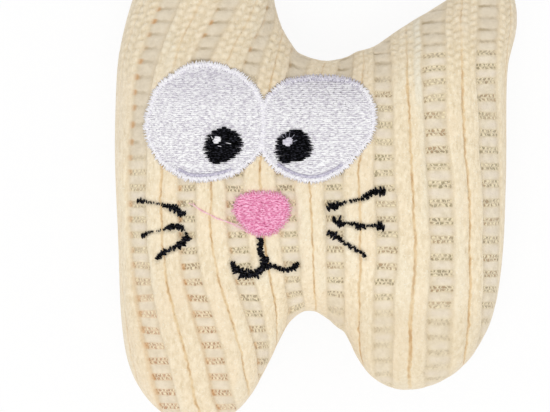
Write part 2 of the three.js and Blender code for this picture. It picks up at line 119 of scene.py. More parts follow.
def inside_of(node):
    """Copy of a panel with only its faces toward the filling, drawn together at the seam."""
    inside = bpy.data.objects.new(node + "_inside", frame["nodes"][node].data.copy())
    scene.collection.objects.link(inside)
    facing = 1 if node.startswith("front") else -1
    mesh = bmesh.new()
    mesh.from_mesh(inside.data)
    other = []
    for face in mesh.faces:
        on_edge = all(abs(corner.co.z - seam_height) < SEAM_BAND for corner in face.verts)
        if face.normal.z * facing > SIDEWAYS or on_edge:
            other.append(face)
    bmesh.ops.delete(mesh, geom=other, context="FACES")
    for corner in mesh.verts:
        if abs(corner.co.z - seam_height) < SEAM_BAND:
            corner.co.z = seam_height
    mesh.to_mesh(inside.data)
    mesh.free()
    return inside


panels = [inside_of(name) for name in frame["nodes"] if "_knit_" in name]
select_only(*panels)
bpy.ops.object.join()
skin = panels[0]
bpy.ops.object.mode_set(mode="EDIT")
bpy.ops.mesh.select_all(action="SELECT")
bpy.ops.mesh.remove_doubles(threshold=WELD_DISTANCE)
bpy.ops.mesh.tris_convert_to_quads()
bpy.ops.mesh.select_all(action="SELECT")
bpy.ops.mesh.fill_holes(sides=0)
bpy.ops.mesh.normals_make_consistent(inside=False)
bpy.ops.object.mode_set(mode="OBJECT")
apply_modifier(skin, "SUBSURF", levels=2, render_levels=2)
apply_modifier(skin, "DISPLACE", mid_level=0, strength=KNIT_THICKNESS + SMOOTHING_LOSS)
apply_modifier(skin, "REMESH", mode="VOXEL", voxel_size=VOXEL)
apply_modifier(skin, "SMOOTH", factor=0.5, iterations=10)

plain_shape = BVHTree.FromObject(skin, bpy.context.evaluated_depsgraph_get())
GRID_STEP = 0.0005
GRID_COUNT = (150, 125)
GRID_CORNER = (110, 300)
ABOVE_ALL = 0.1
LEAST_FACING = 0.3
grid_low = at_pixels(GRID_CORNER)


def plain_grid():
    """Height of the plain shape and how squarely it faces up, on a grid over the face."""
    heights = np.zeros(GRID_COUNT)
    facing = np.ones(GRID_COUNT)
    for i, j in np.ndindex(*GRID_COUNT):
        start = Vector((grid_low[0] + i * GRID_STEP, grid_low[1] + j * GRID_STEP, ABOVE_ALL))
        place, normal, _, _ = plain_shape.ray_cast(start, Vector((0, 0, -1)))
        if place:
            heights[i, j] = place.z
            facing[i, j] = max(normal.z, LEAST_FACING)
    return heights, facing


plain_heights, plain_facing = plain_grid()


def on_plain(places, lift):
    """Points above the plain shape at x, y places, each lifted square to it by its own amount."""
    places = np.asarray(places, float)
    steps = (places - grid_low) / GRID_STEP
    whole = np.floor(steps).astype(int)
    s, t = (steps - whole).T
    i, j = whole.T

    def between(grid):
        low = grid[i, j] * (1 - s) + grid[i + 1, j] * s
        high = grid[i, j + 1] * (1 - s) + grid[i + 1, j + 1] * s
        return low * (1 - t) + high * t

    height = between(plain_heights) + lift / between(plain_facing)
    return np.column_stack([places, height])


# Eyes
# Each eye is a field of white rayon thread: short running stitches in close level rows, with a raised
#  satin border sewn across its edge last. The two borders touch between the eyes. Painted shade: the field
#  turns greyer toward the top, lilac stitches sit on the upward border of the right eye, and a run of dark
#  thread inside the border along the bottom of each eye stands in for the shadow of the raised border.
LEFT_EYE = [
    (204, 62), (220, 64), (234, 69), (248, 78), (259, 91), (265, 106), (267, 122), (266, 138),
    (262, 152), (251, 163), (237, 174), (219, 180), (204, 182), (188, 181), (174, 174), (161, 165),
    (152, 152), (146, 138), (144, 122), (148, 107), (153, 92), (163, 80), (176, 71), (189, 64)]
RIGHT_EYE = [
    (320, 75.5), (334, 76), (349, 78), (363, 85), (372, 98), (376, 113), (375, 128), (370, 141),
    (361, 151), (353, 161), (344, 170), (333, 177), (320, 182), (306, 183), (291, 179), (276, 171),
    (265.5, 160), (260, 148), (260, 130), (261, 112), (266, 97), (277, 85), (292, 78), (306, 76)]
FIELD_SHARE = 0.955
FIELD_PITCH = 0.0004
SHADOW_RUN_BELOW = {"left": -0.44, "right": -0.38}
SHADOW_RUN_SHARE = 0.93
SHADOW_RUN_LIFT = 0.00072
SHADOW_RUN_THICKNESS = 1.6
SHADED_BORDER_ABOVE = 0.6
THREAD_RADIUS = 0.0002
RUNNING_STITCH = ((0.0, 0.0, 1.1), (0.2, 0.8, 1.3), (0.5, 1.0, 1.35), (0.8, 0.8, 1.3))
chance = np.random.default_rng(11)
sewn_areas = []


def rounded(corners, steps=8):
    """Smooth closed line through corners."""
    corners = np.asarray(corners, float)
    before, after, second = (np.roll(corners, shift, 0) for shift in (1, -1, -2))
    parts = []
    for share in np.arange(steps) / steps:
        parts.append(0.5 * (2 * corners + (after - before) * share
                            + (2 * before - 5 * corners + 4 * after - second) * share ** 2
                            + (3 * corners - before - 3 * after + second) * share ** 3))
    return np.stack(parts, 1).reshape(-1, 2)


def span_at(outline, height):
    """Where a level line enters and leaves a closed outline."""
    following = np.roll(outline, -1, 0)
    crosses = (outline[:, 1] > height) != (following[:, 1] > height)
    a, b = outline[crosses], following[crosses]
    cuts = a[:, 0] + (height - a[:, 1]) / (b[:, 1] - a[:, 1]) * (b[:, 0] - a[:, 0])
    return (cuts.min(), cuts.max()) if len(cuts) else (0, 0)


def running_rows(outline, pitch, stitch, lift, wander):
    """Level rows of running stitches that fill an outline: a list of paths with their thickness. A stitch
    is given as shares of its length, with its rise and thickness there."""
    paths = []
    for height in np.arange(outline[:, 1].min() + pitch / 2, outline[:, 1].max(), pitch):
        start, end = span_at(outline, height)
        if end - start < stitch / 2:
            continue
        needle = [start]
        while needle[-1] < end:
            needle.append(needle[-1] + stitch * chance.uniform(0.55, 1.35))
        needle = np.array(needle[:-1] + [end])
        places, lifts, widths = [], [], []
        for left, right in zip(needle[:-1], needle[1:]):
            bow = chance.uniform(0.5, 1.2)
            for share, rise, width in RUNNING_STITCH:
                places.append((left + (right - left) * share, height + wander * chance.uniform(-1, 1)))
                lifts.append(lift + THREAD_RADIUS * (rise * bow - 0.9))
                widths.append(width)
        places.append((end, height))
        lifts.append(lift - 1.5 * THREAD_RADIUS)
        widths.append(0.9)
        paths.append((on_plain(places, np.array(lifts)), widths))
    return paths


def satin_edge(outline, inner, outer, pitch, lift, thickness):
    """Short stitches side by side across an outline, from a distance inside it to one outside it."""
    paths = []
    following = np.roll(outline, -1, 0)
    lengths = np.hypot(*(following - outline).T)
    walked = np.concatenate([[0], np.cumsum(lengths)])
    for distance in np.arange(0, walked[-1], pitch):
        k = min(np.searchsorted(walked, distance, "right") - 1, len(outline) - 1)
        along = (following[k] - outline[k]) / lengths[k]
        middle = outline[k] + along * (distance - walked[k])
        out = np.array([-along[1], along[0]])
        lean = along * chance.uniform(-0.0003, 0.0003)
        start = middle - out * (inner + 0.0001 * chance.uniform(-1, 1)) - lean
        end = middle + out * (outer + 0.0003 * chance.uniform(-1, 1)) + lean
        shares = np.array([0, 0.2, 0.5, 0.8, 1.0])
        places = start + (end - start) * shares[:, None]
        rises = np.array([-1.8, 0.4, 1.1, 0.2, -3.0])
        widths = np.array([0.6, 1.0, 1.0, 0.9, 0.4])
        lifts = lift + THREAD_RADIUS * (rises + chance.uniform(-0.3, 0.3))
        paths.append((on_plain(places, lifts), thickness * widths))
    return paths


def sewn(name, node, paths, radius, materials):
    """Thread along every path, as one piece in place of a node of the frame. Each path gives its points,
    its thickness there and, where the piece has two materials, the number of its own."""
    curve = bpy.data.curves.new(name, "CURVE")
    curve.dimensions = "3D"
    curve.bevel_depth = radius
    curve.bevel_resolution = 1
    curve.use_fill_caps = True
    for material in materials:
        curve.materials.append(material)
    for points, widths, *number in paths:
        spline = curve.splines.new("POLY")
        spline.points.add(len(points) - 1)
        spline.points.foreach_set("co", np.column_stack([points, np.ones(len(points))]).ravel())
        spline.points.foreach_set("radius", np.asarray(widths, float))
        spline.material_index = number[0] if number else 0
    piece = bpy.data.objects.new(name, curve)
    scene.collection.objects.link(piece)
    select_only(piece)
    bpy.ops.object.convert(target="MESH")
    bpy.ops.object.shade_smooth()
    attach(piece, "body")
    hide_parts(node)
    return piece


def shade(red, green, blue):
    """Shader colour of a colour given from 0 to 255 as it looks on a screen."""
    share = np.array([red, green, blue]) / 255
    linear = np.where(share < 0.04045, share / 12.92, ((share + 0.055) / 1.055) ** 2.4)
    return (*linear.tolist(), 1.0)


def new_material(name, roughness, sheen):
    material = bpy.data.materials.new(name)
    material.use_nodes = True
    shader = material.node_tree.nodes["Principled BSDF"]
    shader.inputs["Roughness"].default_value = roughness
    shader.inputs["Sheen Weight"].default_value = sheen
    shader.inputs["Sheen Roughness"].default_value = 0.5
    return material, material.node_tree, shader


def noise(tree, scale, stretch=(1, 1, 1), detail=2.0):
    """Noise over object coordinates, as a value about 0.5."""
    place = tree.nodes.new("ShaderNodeTexCoord")
    mapping = tree.nodes.new("ShaderNodeMapping")
    mapping.inputs["Scale"].default_value = stretch
    texture = tree.nodes.new("ShaderNodeTexNoise")
    texture.inputs["Scale"].default_value = scale
    texture.inputs["Detail"].default_value = detail
    tree.links.new(place.outputs["Object"], mapping.inputs["Vector"])
    tree.links.new(mapping.outputs["Vector"], texture.inputs["Vector"])
    return texture.outputs["Fac"]


def ramp(tree, value, *stops):
    """Colours at places along a value."""
    node = tree.nodes.new("ShaderNodeValToRGB")
    band = node.color_ramp
    while len(band.elements) < len(stops):
        band.elements.new(0.5)
    for element, (place, colour) in zip(band.elements, stops):
        element.position = place
        element.color = colour
    tree.links.new(value, node.inputs["Fac"])
    return node.outputs["Color"]


def bumped(tree, shader, height, distance, strength=1.0):
    bump = tree.nodes.new("ShaderNodeBump")
    bump.inputs["Distance"].default_value = distance
    bump.inputs["Strength"].default_value = strength
    tree.links.new(height, bump.inputs["Height"])
    tree.links.new(bump.outputs["Normal"], shader.inputs["Normal"])


def shaded_upward(tree, tone, low, high, grey, most):
    """A tone that turns partly to grey between two places along y, as painted shade."""
    place = tree.nodes.new("ShaderNodeTexCoord")
    split = tree.nodes.new("ShaderNodeSeparateXYZ")
    share = tree.nodes.new("ShaderNodeMapRange")
    share.interpolation_type = "SMOOTHSTEP"
    mix = tree.nodes.new("ShaderNodeMix")
    mix.data_type = "RGBA"
    share.inputs["From Min"].default_value = low
    share.inputs["From Max"].default_value = high
    share.inputs["To Max"].default_value = most
    mix.inputs[7].default_value = grey
    tree.links.new(place.outputs["Object"], split.inputs["Vector"])
    tree.links.new(split.outputs["Y"], share.inputs["Value"])
    tree.links.new(share.outputs["Result"], mix.inputs["Factor"])
    tree.links.new(tone, mix.inputs[6])
    return mix.outputs[2]


def thread_material(name, dark, light, roughness, gloss, grain=(0.6, 1.2, 1), low=0.38, high=0.62):
    """Rayon thread: a tone that changes from stitch to stitch, and the fine twist of its plies."""
    material, tree, shader = new_material(name, roughness, 0.0)
    shader.inputs["Specular IOR Level"].default_value = gloss
    tone = ramp(tree, noise(tree, 3300, grain, 1.0), (low, dark), (high, light))
    tree.links.new(tone, shader.inputs["Base Color"])
    bumped(tree, shader, noise(tree, 6000, (1, 1, 1)), 0.00004, 0.6)
    return material


white_thread = thread_material("white_thread", shade(206, 201, 211), shade(255, 255, 255), roughness=0.45,
                               gloss=0.45, grain=(0.35, 1.7, 1), low=0.38, high=0.57)
# Painted shade: the white thread of the eye fields turns greyer toward the top of the eyes.
tree = white_thread.node_tree
base = tree.nodes["Principled BSDF"].inputs["Base Color"]
eye_middle, eye_top = at_pixels((205, 118))[1], at_pixels((205, 74))[1]
eye_tone = shaded_upward(tree, base.links[0].from_socket, eye_middle, eye_top, shade(162, 154, 172), most=0.2)
tree.links.new(eye_tone, base)
border_thread = thread_material("border_thread", shade(234, 231, 239), shade(255, 254, 255), roughness=0.4,
                                gloss=0.5)
# Lilac thread: the lilac-grey of the right glint, and painted shade on the upward border stitches of the right
# eye.
lilac_and_shade_thread = thread_material("lilac_and_shade_thread", shade(198, 194, 208), shade(236, 233, 241), roughness=0.45,
                               gloss=0.4)
shadow_thread = thread_material("shadow_thread", shade(172, 167, 188), shade(212, 208, 222), roughness=0.45,
                                gloss=0.4)
BORDER, SHADED_BORDER, SHADOW = 1, 2, 3
for side, corners in (("left", LEFT_EYE), ("right", RIGHT_EYE)):
    outline = rounded(at_pixels(corners))
    sewn_areas.append(outline)
    inside = outline.mean(0) + (outline - outline.mean(0)) * FIELD_SHARE
    stitches = running_rows(inside, FIELD_PITCH, stitch=0.0016, lift=0.00045, wander=0.00005)
    border = satin_edge(inside, inner=0.0007, outer=0.00065, pitch=0.00014, lift=0.00068, thickness=0.6)
    for points, widths in border:
        out = points[-1] - points[0]
        upward = out[1] / np.hypot(out[0], out[1])
        # Painted shade: border stitches on the top of the right eye take the lilac thread.
        on_shaded_top = side == "right" and upward > chance.uniform(SHADED_BORDER_ABOVE, 1.0)
        stitches.append((points, widths, SHADED_BORDER if on_shaded_top else BORDER))
    # Painted shadow: a run of dark thread inside the bottom of the border stands in for the shade of the raised
    # border.
    middle = inside.mean(0)
    lower = inside[(inside[:, 1] - middle[1]) < SHADOW_RUN_BELOW[side] * np.ptp(inside[:, 1])]
    lower = middle + (lower[np.argsort(lower[:, 0])] - middle) * SHADOW_RUN_SHARE
    shadow_run = on_plain(lower, np.full(len(lower), SHADOW_RUN_LIFT))
    stitches.append((shadow_run, np.full(len(lower), SHADOW_RUN_THICKNESS), SHADOW))
    sewn("eye_" + side + "_stitching", "eye_" + side, stitches, THREAD_RADIUS,
         (white_thread, border_thread, lilac_and_shade_thread, shadow_thread))

# Pupils and glints
# Black satin stitches lie level across each pupil, so that its sides are saw-toothed. A glint of pale
# stitches is sewn on top, with a few loose strands round it.
LEFT_PUPIL = [
    (224, 128), (232, 130), (239, 134), (243.5, 140), (243.5, 147.5), (239, 154.5), (231, 160), (222, 163),
    (213, 163.5), (207, 158), (203.5, 150), (204, 142), (208, 135), (215, 130.5)]
RIGHT_PUPIL = [
    (297, 130), (304, 132.5), (310, 137.5), (313, 144.5), (312.5, 152), (308, 158), (300, 161.5), (291, 162.5),
    (284, 163), (278, 160.5), (275.5, 155), (274.5, 149), (275.5, 142), (279, 136.5), (287, 132)]
LEFT_GLINT = [(217, 137), (220.5, 138), (221.5, 140.5), (218.5, 143), (214, 143), (213, 140)]
RIGHT_GLINT = [(288, 138), (292, 139), (293, 143), (289, 146), (284, 145), (282, 141)]
LEFT_STRANDS = [((226, 143), (233, 144.5)), ((218, 146), (223, 147)), ((213, 139), (211, 136))]
RIGHT_STRANDS = [((284, 138), (280, 133)), ((286, 137), (285, 131)), ((289, 138), (290, 131)),
                 ((291, 139), (296, 133)), ((293, 142), (300, 139))]


def satin_rows(outline, pitch, lift, ragged):
    """Level stitches from side to side of an outline, with ragged ends."""
    paths = []
    for number, height in enumerate(np.arange(outline[:, 1].min() + pitch / 3, outline[:, 1].max(), pitch)):
        start, end = span_at(outline, height)
        start -= ragged * (chance.uniform(0.3, 1) if number % 2 else chance.uniform(-0.6, 0.1))
        end += ragged * (chance.uniform(0.3, 1) if number % 2 else chance.uniform(-0.6, 0.1))
        shares = np.array([0, 0.12, 0.4, 0.6, 0.88, 1.0])
        slope = pitch * chance.uniform(-0.5, 0.5)
        places = np.column_stack([start + (end - start) * shares, height + slope * (shares - 0.5)])
        rises = np.array([-2.4, 0, 0.6, 0.6, 0, -2.4])
        lifts = lift + THREAD_RADIUS * (rises + chance.uniform(-0.25, 0.25))
        paths.append((on_plain(places, lifts), [0.3, 0.95, 1.1, 1.1, 0.95, 0.3]))
    return paths


# Painted sheen: the black thread's paler grey streaks stand in for the sheen of the rayon, which has almost no
# gloss here.
black_thread = thread_material("black_thread", shade(1, 1, 1), shade(60, 60, 70), roughness=0.6, gloss=0.03,
                               low=0.48, high=0.78)
grey_thread = thread_material("grey_thread", shade(96, 96, 108), shade(170, 170, 184), roughness=0.5, gloss=0.3)
STRAND_LIFTS = np.array([0.0013, 0.0013, 0.001])
STRAND_WIDTHS = [0.3, 0.35, 0.15]
for side, pupil, glint, strands, glint_thread, strand_slot in (
        ("left", LEFT_PUPIL, LEFT_GLINT, LEFT_STRANDS, white_thread, 0),
        ("right", RIGHT_PUPIL, RIGHT_GLINT, RIGHT_STRANDS, lilac_and_shade_thread, 1)):
    stitches = satin_rows(rounded(at_pixels(pupil)), pitch=0.00037, lift=0.00095, ragged=0.00034)
    sewn("pupil_" + side + "_stitching", "pupil_" + side, stitches, THREAD_RADIUS, (black_thread,))
    stitches = satin_rows(rounded(at_pixels(glint)), pitch=0.00034, lift=0.0013, ragged=0.00012)
    for start, end in at_pixels(strands):
        strand = on_plain([start, (start + end) / 2, end], STRAND_LIFTS)
        stitches.append((strand, STRAND_WIDTHS, strand_slot))
    sewn("glint_" + side + "_stitching", "glint_" + side, stitches, THREAD_RADIUS, (glint_thread, grey_thread))

# Nose
# A rounded shield of pink running stitches in two layers, with an edge of pink and paler stitches. Its
# thread jumps once to the left cheek, and that stitch was left uncut.
NOSE = [
    (262, 192), (276, 192.5), (285, 196), (289.5, 202.5), (290.5, 211), (287.5, 220), (281.5, 228),
    (272.5, 234), (262, 236), (252, 234), (244, 227.5), (236.5, 219), (233, 210.5), (234, 202), (239, 195.5),
    (248, 192.5)]
JUMP_STITCH = [
    [(249, 233), (240, 228), (231, 223.5), (217, 218), (208, 213.5), (198, 208), (189, 203)],
    [(244, 229), (236, 224.5), (226, 221), (217, 219), (210, 214.5), (203, 212), (196, 207), (193, 203)]]
NOSE_FIELD_SHARE = 0.94
NOSE_PITCH = 0.00034
JUMP_LIFT = 0.0006
JUMP_RADIUS = 0.00006
pink_thread = thread_material("pink_thread", shade(222, 120, 164), shade(255, 190, 220), roughness=0.4,
                              gloss=0.4)
pale_thread = thread_material("pale_thread", shade(244, 166, 200), shade(255, 218, 234), roughness=0.4,
                              gloss=0.4)
nose_outline = rounded(at_pixels(NOSE))
sewn_areas.append(nose_outline)
inside = nose_outline.mean(0) + (nose_outline - nose_outline.mean(0)) * NOSE_FIELD_SHARE
stitches = running_rows(inside, NOSE_PITCH, stitch=0.0018, lift=0.0002, wander=0.00004)
stitches += running_rows(inside, NOSE_PITCH, stitch=0.0015, lift=0.0005, wander=0.00014)
border = satin_edge(inside, inner=0.0005, outer=0.00055, pitch=0.00026, lift=0.00066, thickness=0.45)
stitches += [(*path, number % 2) for number, path in enumerate(border)]
sewn("nose_stitching", "nose", stitches, THREAD_RADIUS, (pink_thread, pale_thread))
strands = [at_pixels(strand) for strand in JUMP_STITCH]
stitches = [(on_plain(strand, np.full(len(strand), JUMP_LIFT)), np.ones(len(strand))) for strand in strands]
sewn("jump_stitch", "loose_thread", stitches, JUMP_RADIUS, (pale_thread,))

# Mouth and whiskers
# Black satin strokes, sewn straight through the plush: close stitches across the stroke, of uneven
# length where they sink between the ribs. Each stroke is given as pixel columns, rows and widths.
MOUTH = [
    [(260, 238, 7), (262, 253, 8), (265, 265, 10)],
    [(265, 266, 9), (258, 273, 9), (248, 276, 10), (240, 273, 11), (235, 268, 8), (231, 263, 5)],
    [(266, 266, 8), (275, 267, 5), (284, 270, 5), (293, 268, 6), (299, 263, 5)]]
WHISKERS = {
    "whisker_left_upper": [
        (138, 201, 5), (142, 201, 7), (147, 202, 3), (156, 203, 2), (163, 205, 4), (170, 207, 6),
        (177, 210, 10), (185, 215, 6)],
    "whisker_left_middle": [
        (142, 235, 6), (145, 234, 5), (152, 232, 2), (162, 230, 3), (169, 228, 6), (176, 227, 8),
        (184, 228, 7)],
    "whisker_left_lower": [
        (184, 230, 2), (187, 234, 4), (187, 239, 8), (183, 243, 7), (177, 247, 6), (169, 250, 5),
        (161, 254, 6), (157, 260, 4)],
    "whisker_right_upper": [
        (328, 208, 7), (333, 206, 8), (340, 204, 6), (345, 202, 2), (350, 201, 4), (356, 200, 4),
        (361, 199, 3), (365, 197, 8), (370, 194, 5), (377, 192, 8), (385, 191, 9)],
    "whisker_right_middle": [
        (333, 221, 9), (338, 222, 11), (342, 223, 8), (347, 224, 3), (353, 224, 4), (358, 226, 8),
        (364, 226, 4), (371, 226, 3), (377, 226, 7), (384, 227, 9)],
    "whisker_right_lower": [
        (329, 232, 7), (334, 235, 8), (339, 239, 6), (344, 243, 3), (350, 246, 5), (357, 250, 5),
        (362, 253, 4), (365, 257, 4)]}
STROKE_LIFT = 0.00025
FULL_STROKE = 6.5 * PIXEL
SPARSE_STROKE = 6 * PIXEL
sewn_strokes = []


def satin_stroke(points, pitch, slant):
    """Close stitches across a stroke that changes in width, left out here and there where it is thin."""
    points = np.asarray(points, float)
    line = np.column_stack([at_pixels(points[:, :2]), points[:, 2] * PIXEL])
    lengths = np.hypot(*np.diff(line[:, :2], axis=0).T)
    walked = np.concatenate([[0], np.cumsum(lengths)])
    fine = np.arange(0, walked[-1], pitch)
    smooth = np.column_stack([np.interp(fine, walked, line[:, k]) for k in range(3)])
    for _ in range(6):
        smooth[1:-1] = (smooth[:-2] + 2 * smooth[1:-1] + smooth[2:]) / 4
    sewn_strokes.append(smooth)
    along = np.gradient(smooth[:, :2], axis=0)
    along /= np.hypot(*along.T)[:, None]
    paths = []
    for k, (x, y, width) in enumerate(smooth):
        if chance.uniform() < 0.7 - width / SPARSE_STROKE:
            continue
        lean = chance.normal(0, slant)
        out = np.array([-along[k][1], along[k][0]]) + along[k] * lean
        half = out * width / 2 * chance.uniform(0.5, 1.1)
        shift = out * width * chance.uniform(-0.25, 0.25) + along[k] * pitch * chance.uniform(-0.5, 0.5)
        shares = np.array([-1, -0.55, 0, 0.55, 1])
        places = np.array([x, y]) + shift + half * shares[:, None]
        rises = np.array([-2.5, 0, 0.7, 0, -2.5])
        widths = np.array([0.5, 1.1, 1.25, 1.1, 0.5])
        lifts = STROKE_LIFT + THREAD_RADIUS * (rises + chance.uniform(-0.4, 0.4))
        thickness = chance.uniform(0.75, 1.2) * np.clip(width / FULL_STROKE, 0.45, 1)
        paths.append((on_plain(places, lifts), thickness * widths))
    return paths


stitches = [path for stroke in MOUTH for path in satin_stroke(stroke, pitch=0.00023, slant=0.25)]
sewn("mouth_stitching", "mouth", stitches, THREAD_RADIUS, (black_thread,))
for name, stroke in WHISKERS.items():
    stitches = satin_stroke(stroke, pitch=0.00026, slant=0.35)
    sewn(name + "_stitching", name, stitches, THREAD_RADIUS, (black_thread,))

# Knit skin
# Cream chenille rib knit. Each rib is two plush wales with a fine groove between them, and between the
#  ribs a sunk ladder of smooth rungs shows two rows of needle holes at every course, their dark partly
#  painted shade in the holes and partly the olive and tan of the yarn. The lines of the ladders are given
#  as pixel columns at LADDER_ROWS, the courses as pixel rows with their numbers.
LADDER_ROWS = (-110, 0, 60, 120, 180, 250, 300, 350, 400, 460)
LADDERS = [
    (151, 107, 82, 72, 70, 71, 79, 90, 101, 117),
    (215, 171, 146, 136, 134, 135, 143, 154, 165, 181),
    (284, 231, 199, 190, 186, 186, 199, 213, 225, 241),
    (345, 290, 252, 241, 233, 239, 251, 268, 284, 303),
    (375, 328, 298, 289, 284, 290, 297, 303, 314, 330),
    (395, 358, 345, 338, 333, 335, 334, 333, 336, 342),
    (405, 382, 378, 383, 384, 387, 382, 380, 381, 384),
    (440, 431, 433, 434, 440, 443, 441, 440, 438, 438),
    (492, 489, 490, 492, 497, 500, 499, 497, 494, 492),
    (548, 545, 546, 548, 553, 556, 555, 553, 550, 548)]
LEFT_COURSES = (
    (-110, -24.8), (8.5, -16), (62, -12), (107, -9), (142, -7), (188, -4), (250, 0), (394, 9), (470, 13.7))
RIGHT_COURSES = (
    (-110, -25), (30, -14), (53, -12), (81, -10), (132, -7), (184, -4), (258, 0), (306, 3), (470, 13.2))
RIGHT_HALF = (388, 436)
EDGE_ROUND = 45
LADDER_HALF = 0.19
LADDER_WIDTHS = (0.17, 0.175, 0.18, 0.19, 0.19, 0.19, 0.2, 0.225, 0.22, 0.22)
WALE_MIDDLE = (LADDER_HALF + 0.5) / 2
WALE_HALF = (0.5 - LADDER_HALF) / 2
LINE_SOFTENING = 61
EAR_ROWS, BROW_ROWS = (40, 110), (80, 125)
BROW_LEFT_RIBS, BROW_RIGHT_RIBS = (1.1, 1.5), (2.6, 3.0)
LEFT_LEG_RIBS, LEFT_LEG_COURSES = (2.4, 0.6), (-2.0, 5.0)
RIGHT_LEG_RIBS, RIGHT_LEG_COURSES = (3.3, 3.8), (2.4, 4.4)
KNIT_RELIEF = 0.001
DRIFT_SIZE = 97


def step(low, high, value):
    share = np.clip((value - low) / (high - low), 0, 1)
    return share * share * (3 - 2 * share)


def drift(across, along, seed):
    """Smooth random values from -1 to 1 that change over one unit of either coordinate."""
    values = np.random.default_rng(seed).uniform(-1, 1, (DRIFT_SIZE, DRIFT_SIZE))
    i, j = np.floor(across).astype(int), np.floor(along).astype(int)
    s, t = step(0, 1, across - i), step(0, 1, along - j)

    def at(i, j):
        return values[i % DRIFT_SIZE, j % DRIFT_SIZE]

    low = at(i, j) * (1 - s) + at(i + 1, j) * s
    high = at(i, j + 1) * (1 - s) + at(i + 1, j + 1) * s
    return low * (1 - t) + high * t


def knit_places(points, normals):
    """Rib number, course number and pixel row at points of the skin, laid out flat over its rounded edges."""
    column = NOSE_PIXEL[0] + (points[:, 0] - nose_middle.x) / PIXEL
    row = NOSE_PIXEL[1] - (points[:, 1] - nose_middle.y) / PIXEL
    turn_x, turn_y = np.arcsin(np.clip(normals[:, :2], -1, 1)).T
    column = column + EDGE_ROUND * (turn_x - np.sin(turn_x))
    row = row - EDGE_ROUND * (turn_y - np.sin(turn_y))
    column = column + 1.3 * drift(column / 30, row / 22, 3)
    row = row + 1.2 * drift(column / 26, row / 30, 4)
    fine_rows = np.arange(-140, 500)
    lines = []
    for ladder in LADDERS:
        line = np.interp(fine_rows, LADDER_ROWS, ladder)
        padded = np.pad(line, LINE_SOFTENING // 2, mode="edge")
        soft = np.convolve(padded, np.ones(LINE_SOFTENING) / LINE_SOFTENING, mode="valid")
        lines.append(np.interp(row, fine_rows, soft))
    rib = np.full(len(points), -1.0) + (column - lines[0]) / (lines[1] - lines[0])
    for number in range(1, len(lines)):
        gap = lines[number] - lines[number - 1]
        rib = np.where(column >= lines[number - 1], number - 2 + (column - lines[number - 1]) / gap, rib)
    number = np.round(rib)
    side = np.abs(rib - number)
    half = np.interp(number, np.arange(len(LADDERS)) - 1, LADDER_WIDTHS)
    evened = np.where(side < half, side * LADDER_HALF / half,
                      LADDER_HALF + (side - half) * (0.5 - LADDER_HALF) / (0.5 - half))
    rib = number + np.sign(rib - number) * evened
    left = np.interp(row, *np.array(LEFT_COURSES).T)
    right = np.interp(row, *np.array(RIGHT_COURSES).T)
    course = left + (right - left) * step(*RIGHT_HALF, column)
    return rib, course, row


def pressed(points):
    """How far the stitching presses the plush flat, from 0 to 1."""
    amount = np.zeros(len(points))
    for outline in sewn_areas:
        following = np.roll(outline, -1, 0)
        inside = np.zeros(len(points), bool)
        nearest = np.full(len(points), 1.0)
        for a, b in zip(outline, following):
            crosses = (a[1] > points[:, 1]) != (b[1] > points[:, 1])
            cut = a[0] + (points[:, 1] - a[1]) / (b[1] - a[1] + 1e-12) * (b[0] - a[0])
            inside ^= crosses & (points[:, 0] < cut)
            share = np.clip(((points - a) @ (b - a)) / ((b - a) @ (b - a)), 0, 1)
            nearest = np.minimum(nearest, np.hypot(*(points - a - share[:, None] * (b - a)).T))
        depth = np.where(inside, nearest, -nearest)
        amount = np.maximum(amount, step(-0.0001, 0.0007, depth))
    for stroke in sewn_strokes:
        for x, y, width in stroke:
            away = np.hypot(points[:, 0] - x, points[:, 1] - y) - width / 2
            amount = np.maximum(amount, 0.9 * (1 - step(-0.0002, 0.0005, away)))
    return amount


def relief(rib, course, row):
    """Height of the knit above the plain shape, and the depth of the creases between stitches, which the
    shader also uses for painted shade in them. The plush shows its V-shaped stitches on the ears and the
    brow, and the rungs are rolled there."""
    place = rib - np.round(rib)
    side = np.abs(place)
    across = (side - WALE_MIDDLE) / WALE_HALF
    crown = np.sqrt(np.clip(1 - across ** 2, 0, 1)) ** 0.8
    brow = (1 - step(*BROW_ROWS, row)) * step(*BROW_LEFT_RIBS, rib) * (1 - step(*BROW_RIGHT_RIBS, rib))
    ear = np.maximum(1 - step(*EAR_ROWS, row), brow)
    stitch = 1.7 * course + np.where(across > 0, 0.5, 0) + 0.35 * np.abs(across)
    stitch += 0.22 * drift(rib * 4, course * 0.8, 5)
    crease = (1 - np.abs(np.sin(np.pi * stitch))) * (0.75 + 0.25 * drift(rib * 8, course * 1.3, 9))
    crease = np.maximum(crease, 0.6 * np.exp(-(across / 0.25) ** 2)) * (0.08 + 0.92 * ear)
    wale = -0.36 + 0.74 * crown - 0.5 * crease * crown
    wale += 0.09 * drift(rib * 12, course * 1.9, 6) + 0.1 * drift(rib * 22, course * 5.3, 7)
    along = course - np.round(course)
    strip = 1 - step(0.12, 0.26, np.abs(along))
    roll = np.sqrt(np.clip(1 - (1 - 2 * np.abs(along)) ** 2, 0, 1))
    right_leg = step(*RIGHT_LEG_COURSES, course) * step(*RIGHT_LEG_RIBS, rib)
    rung = -0.36 - 0.1 * strip + (ear + 0.6 * right_leg) * (0.36 * roll - 0.26)
    rung += 0.05 * drift(rib * 20, course * 2.2, 8)
    ladder = 1 - step(LADDER_HALF - 0.035, LADDER_HALF + 0.02, side)
    return KNIT_RELIEF * (wale * (1 - ladder) + rung * ladder), crease * (1 - ladder)


def rows_of(items, field):
    """One vector of each item of a mesh, as rows."""
    values = np.empty(len(items) * 3)
    items.foreach_get(field, values)
    return values.reshape(-1, 3)


